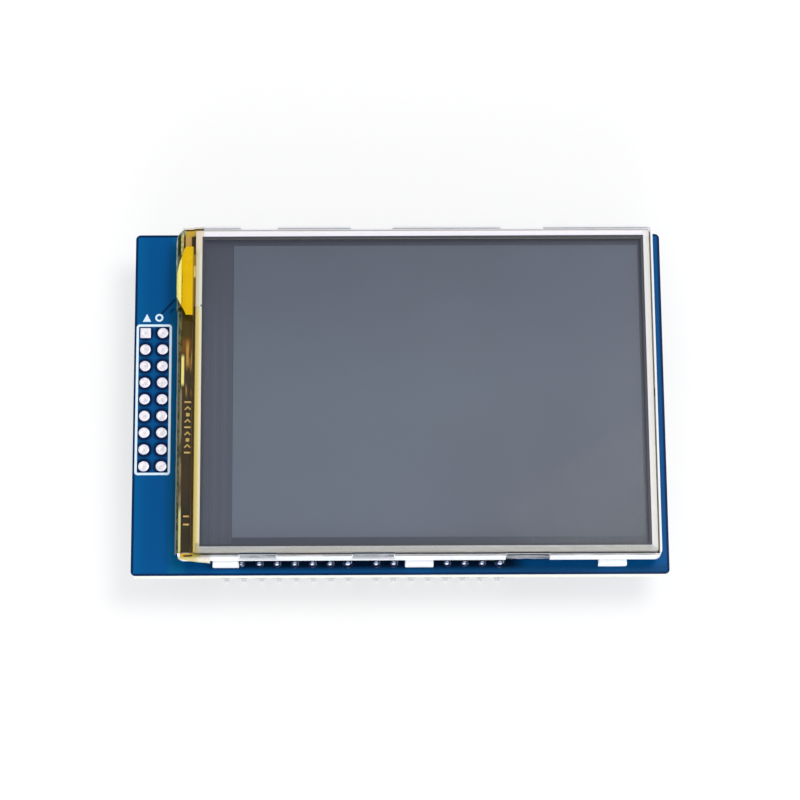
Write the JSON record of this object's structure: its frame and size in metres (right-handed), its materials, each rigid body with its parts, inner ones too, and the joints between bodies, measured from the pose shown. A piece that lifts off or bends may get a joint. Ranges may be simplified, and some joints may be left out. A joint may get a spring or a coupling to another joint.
{
  "type": "tft display module",
  "caption": "Plug-on colour touch display on a blue circuit board with two header rows, a side block of expansion pads and a card socket underneath.",
  "frame": {"origin": "middle of the circuit board's outline, at the tips of the header pins", "axes": "+X along the board's long side, away from the expansion pads; +Y from the front header row to the rear one; +Z out through the touch film"},
  "size_m": [0.0776, 0.0518, 0.0157],
  "materials": {
    "board_mask": "glossy blue solder mask on glass-fibre board",
    "legend_ink": "matt white screen-printed ink",
    "solder": "bright tinned solder",
    "header_plastic": "black moulded glass-filled nylon",
    "pin_metal": "gold-flashed spring contacts",
    "foam": "white closed-cell foam tape",
    "housing_plastic": "white polycarbonate with a satin mould finish",
    "reflector_film": "silver-white reflector sheet",
    "clear_plastic": "clear acrylic light guide",
    "sheet_film": "thin milky optical sheet",
    "black_film": "black double-sided tape",
    "lamp_body": "white lamp case with a yellow phosphor window",
    "flex_film": "brown polyimide film over copper tracks",
    "polariser_film": "grey polariser film",
    "cell_glass": "thin clear cell glass",
    "silicon": "bare polished silicon",
    "amber_tape": "amber polyimide tape",
    "clear_tape": "pale double-sided mounting tape",
    "panel_glass": "clear touch glass with a conductive coat",
    "panel_film": "hard-coated clear polyester film",
    "yellow_tape": "yellow polyester tape",
    "socket_shell": "bright stamped steel",
    "case_black": "black moulded epoxy",
    "lead_metal": "tin-plated leads and pins",
    "tantalum_case": "yellow moulded epoxy",
    "capacitor_body": "fired ceramic, tan"
  },
  "bodies": {
    "root": {"circuit_board": "board_mask", "legend": "legend_ink", "expansion_pads": "solder", "front_left_strip": "header_plastic", "front_right_strip": "header_plastic", "rear_left_strip": "header_plastic", "rear_right_strip": "header_plastic", "front_left_pins": "lead_metal", "front_right_pins": "lead_metal", "rear_left_pins": "lead_metal", "rear_right_pins": "lead_metal", "front_solder": "solder", "rear_solder": "solder", "card_socket_base": "header_plastic", "card_socket_shell": "socket_shell", "card_socket_contacts": "pin_metal", "regulator_case": "case_black", "regulator_leads": "lead_metal", "shifter_cases": "case_black", "shifter_leads": "lead_metal", "tantalum_capacitors": "tantalum_case", "tantalum_terminals": "lead_metal", "chip_capacitors": "capacitor_body", "chip_resistors": "case_black", "chip_end_caps": "lead_metal", "foam_tape": "foam", "back_reflector": "reflector_film", "backlight_housing": "housing_plastic", "light_guide": "clear_plastic", "lamp_strip": "flex_film", "lamps": "lamp_body", "diffuser_sheet": "sheet_film", "lower_prism_sheet": "sheet_film", "upper_prism_sheet": "sheet_film", "light_shield_tape": "black_film", "rear_polariser": "polariser_film", "rear_cell_glass": "cell_glass", "front_cell_glass": "cell_glass", "front_polariser": "polariser_film", "driver_chip": "silicon", "display_flex": "flex_film", "bond_tape": "amber_tape", "touch_tape": "clear_tape", "touch_glass": "panel_glass", "touch_spacer": "clear_tape", "touch_film": "panel_film", "touch_tail": "flex_film", "holding_tape": "yellow_tape"}
  },
  "joints": []
}
